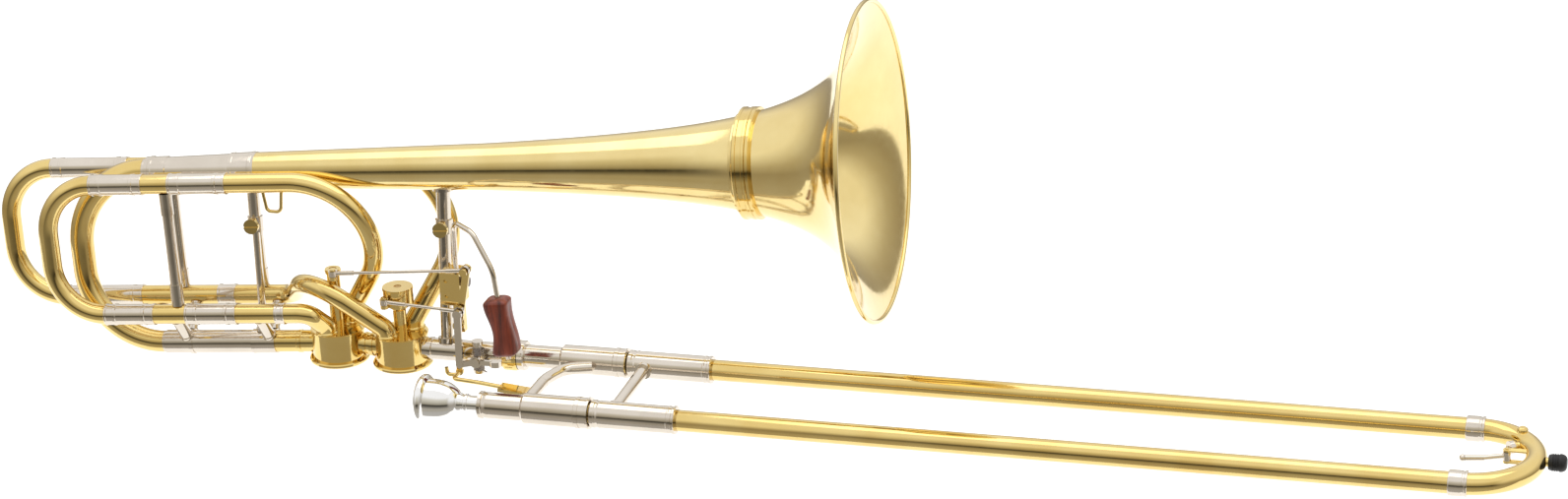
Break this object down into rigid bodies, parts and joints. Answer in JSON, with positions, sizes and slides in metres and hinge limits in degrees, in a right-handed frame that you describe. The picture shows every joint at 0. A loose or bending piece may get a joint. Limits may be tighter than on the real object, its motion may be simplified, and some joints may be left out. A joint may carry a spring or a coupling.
{
  "type": "trombone",
  "caption": "Slide brass instrument with a flared bell, rotary valves in line with looped tubing, thumb levers, a hand rest and a telescoping hand slide.",
  "frame": {"origin": "centre of the face where the hand slide joins the bell section, on the axis of the slide tube that runs into the neckpipe", "axes": "+X along the hand slide towards its crook, +Z square to the plane of the two slide tubes, +Y from the mouthpiece side to the neckpipe side"},
  "size_m": [1.2313, 0.2686, 0.3045],
  "materials": {
    "brass": "polished and lacquered",
    "bell_brass": "polished and lacquered",
    "rotor_brass": "satin",
    "nickel": "polished nickel silver",
    "bright_tube": "bright plated",
    "silver_plate": "silver plated",
    "spring_steel": "plain",
    "dark_steel": "blackened",
    "wood": "oiled",
    "rubber": "matte"
  },
  "bodies": {
    "bell_section": {"bell_ring_female": "brass", "bell_stem": "bell_brass", "upper_socket": "nickel", "lower_socket": "nickel", "valve_inlet": "brass", "valve_a_casing": "brass", "valve_a_cap": "brass", "valve_a_tower": "brass", "valve_b_casing": "brass", "valve_b_cap": "brass", "valve_b_tower": "brass", "valve_link": "brass", "neckpipe": "nickel", "loop_a_bend": "brass", "loop_a_sockets": "nickel", "loop_b_bend": "brass", "loop_b_sockets": "nickel", "loop_braces": "nickel", "rear_brace": "nickel", "main_brace": "nickel", "pull_hook": "brass", "loop_knobs": "nickel", "trigger_block": "brass", "trigger_b_bracket": "nickel", "trigger_spring": "spring_steel"},
    "bell_front": {"bell_flare": "bell_brass", "bell_ring_male": "brass"},
    "tuning_slide": {"main_bow": "brass", "main_leg_upper": "nickel", "main_leg_lower": "nickel"},
    "loop_a_slide": {"loop_a_bow": "brass", "loop_a_legs": "nickel"},
    "loop_b_slide": {"loop_b_bow": "brass", "loop_b_legs": "nickel"},
    "first_rotor": {"valve_a_rotor": "rotor_brass", "valve_a_hub": "brass"},
    "second_rotor": {"valve_b_rotor": "rotor_brass", "valve_b_hub": "brass"},
    "first_rod": {"rod_a": "nickel"},
    "second_rod": {"rod_b": "nickel"},
    "first_lever": {"trigger_a": "brass"},
    "second_lever": {"trigger_b": "nickel"},
    "locking_nut": {"lock_nut": "brass"},
    "inner_slide": {"slide_joint": "nickel", "far_barrel": "nickel", "near_barrel": "nickel", "inner_tubes": "bright_tube", "inner_brace": "nickel"},
    "outer_slide": {"outer_tubes": "brass", "outer_sleeves": "nickel", "outer_brace": "nickel", "crook": "brass", "bumper": "rubber"},
    "drain_key": {"water_key": "nickel"},
    "mouthpiece_body": {"mouthpiece": "silver_plate"},
    "rear_thumb_screw": {"rear_brace_screw": "brass"},
    "main_thumb_screw": {"main_brace_screw": "brass"},
    "hand_rest": {"rest_rod": "nickel", "rest_block": "wood"},
    "rest_thumb_screw": {"rest_screw": "dark_steel"}
  },
  "joints": [
    {"name": "bell_screw_off", "type": "slide", "parent": "bell_section", "child": "bell_front", "axis": [0.9969, 0.0501, 0.0605], "range_m": [0, 0.04]},
    {"name": "tuning_slide_pull", "type": "slide", "parent": "bell_section", "child": "tuning_slide", "axis": [-0.9969, -0.0501, -0.0605], "range_m": [0, 0.06]},
    {"name": "first_loop_pull", "type": "slide", "parent": "bell_section", "child": "loop_a_slide", "axis": [-0.9969, -0.0501, -0.0605], "range_m": [0, 0.028]},
    {"name": "second_loop_pull", "type": "slide", "parent": "bell_section", "child": "loop_b_slide", "axis": [-0.9969, -0.0501, -0.0605], "range_m": [0, 0.04]},
    {"name": "first_rotor_turn", "type": "hinge", "parent": "bell_section", "child": "first_rotor", "pos_m": [-0.1487, 0, 0], "axis": [0, 0, -1], "range_deg": [0, 45]},
    {"name": "second_rotor_turn", "type": "hinge", "parent": "bell_section", "child": "second_rotor", "pos_m": [-0.0966, 0, 0], "axis": [0, 0, 1], "range_deg": [0, 45]},
    {"name": "first_rod_pivot", "type": "hinge", "parent": "first_rotor", "child": "first_rod", "pos_m": [-0.14273, -0.01441, 0.0632], "axis": [0, 0, -1], "range_deg": [-45, 0]},
    {"name": "second_rod_pivot", "type": "hinge", "parent": "second_rotor", "child": "second_rod", "pos_m": [-0.10257, -0.01441, 0.0426], "axis": [0, 0, 1], "range_deg": [-45, 0]},
    {"name": "first_lever_press", "type": "hinge", "parent": "bell_section", "child": "first_lever", "pos_m": [-0.045, -0.0098, 0.025], "axis": [0, -1, 0], "range_deg": [0, 14.04], "stiffness_Nm_per_rad": 0.35, "springref_deg": -28.65},
    {"name": "second_lever_press", "type": "hinge", "parent": "bell_section", "child": "second_lever", "pos_m": [-0.03, -0.0179, 0], "axis": [0, 1, 0], "range_deg": [0, 17.3], "stiffness_Nm_per_rad": 0.3, "springref_deg": -28.65},
    {"name": "locking_nut_turn", "type": "hinge", "parent": "bell_section", "child": "locking_nut", "pos_m": [-0.0065, 0, 0], "axis": [1, 0, 0], "continuous": true},
    {"name": "hand_slide_angle", "type": "hinge", "parent": "bell_section", "child": "inner_slide", "pos_m": [0, 0, 0], "axis": [1, 0, 0], "range_deg": [-12, 12]},
    {"name": "hand_slide_travel", "type": "slide", "parent": "inner_slide", "child": "outer_slide", "axis": [1, 0, 0], "range_m": [0, 0.56]},
    {"name": "drain_key_press", "type": "hinge", "parent": "outer_slide", "child": "drain_key", "pos_m": [0.754, -0.041, 0], "axis": [0, 0, 1], "range_deg": [0, 12], "stiffness_Nm_per_rad": 0.05, "springref_deg": -34.38},
    {"name": "mouthpiece_pull", "type": "slide", "parent": "inner_slide", "child": "mouthpiece_body", "axis": [-1, 0, 0], "range_m": [0, 0.06]},
    {"name": "rear_screw_turn", "type": "hinge", "parent": "bell_section", "child": "rear_thumb_screw", "pos_m": [-0.21173, -0.00292, 0.09244], "axis": [0.0436, -0.9936, 0.1044], "continuous": true},
    {"name": "main_screw_turn", "type": "hinge", "parent": "bell_section", "child": "main_thumb_screw", "pos_m": [-0.05909, 0.00334, 0.09782], "axis": [0.0436, -0.9936, 0.1044], "continuous": true},
    {"name": "hand_rest_turn", "type": "hinge", "parent": "bell_section", "child": "hand_rest", "pos_m": [-0.0485, 0.0015, 0.05], "axis": [0.1076, -0.2567, 0.9605], "range_deg": [-12, 12]},
    {"name": "rest_screw_turn", "type": "hinge", "parent": "bell_section", "child": "rest_thumb_screw", "pos_m": [-0.04, 0, 0.058], "axis": [1, 0, 0], "continuous": true}
  ],
  "couplings": [
    {"joint": "first_rod_pivot", "follows": "first_rotor_turn", "ratio": -1},
    {"joint": "first_lever_press", "follows": "first_rotor_turn", "ratio": 0.3119},
    {"joint": "second_rod_pivot", "follows": "second_rotor_turn", "ratio": -1},
    {"joint": "second_lever_press", "follows": "second_rotor_turn", "ratio": 0.38454}
  ]
}
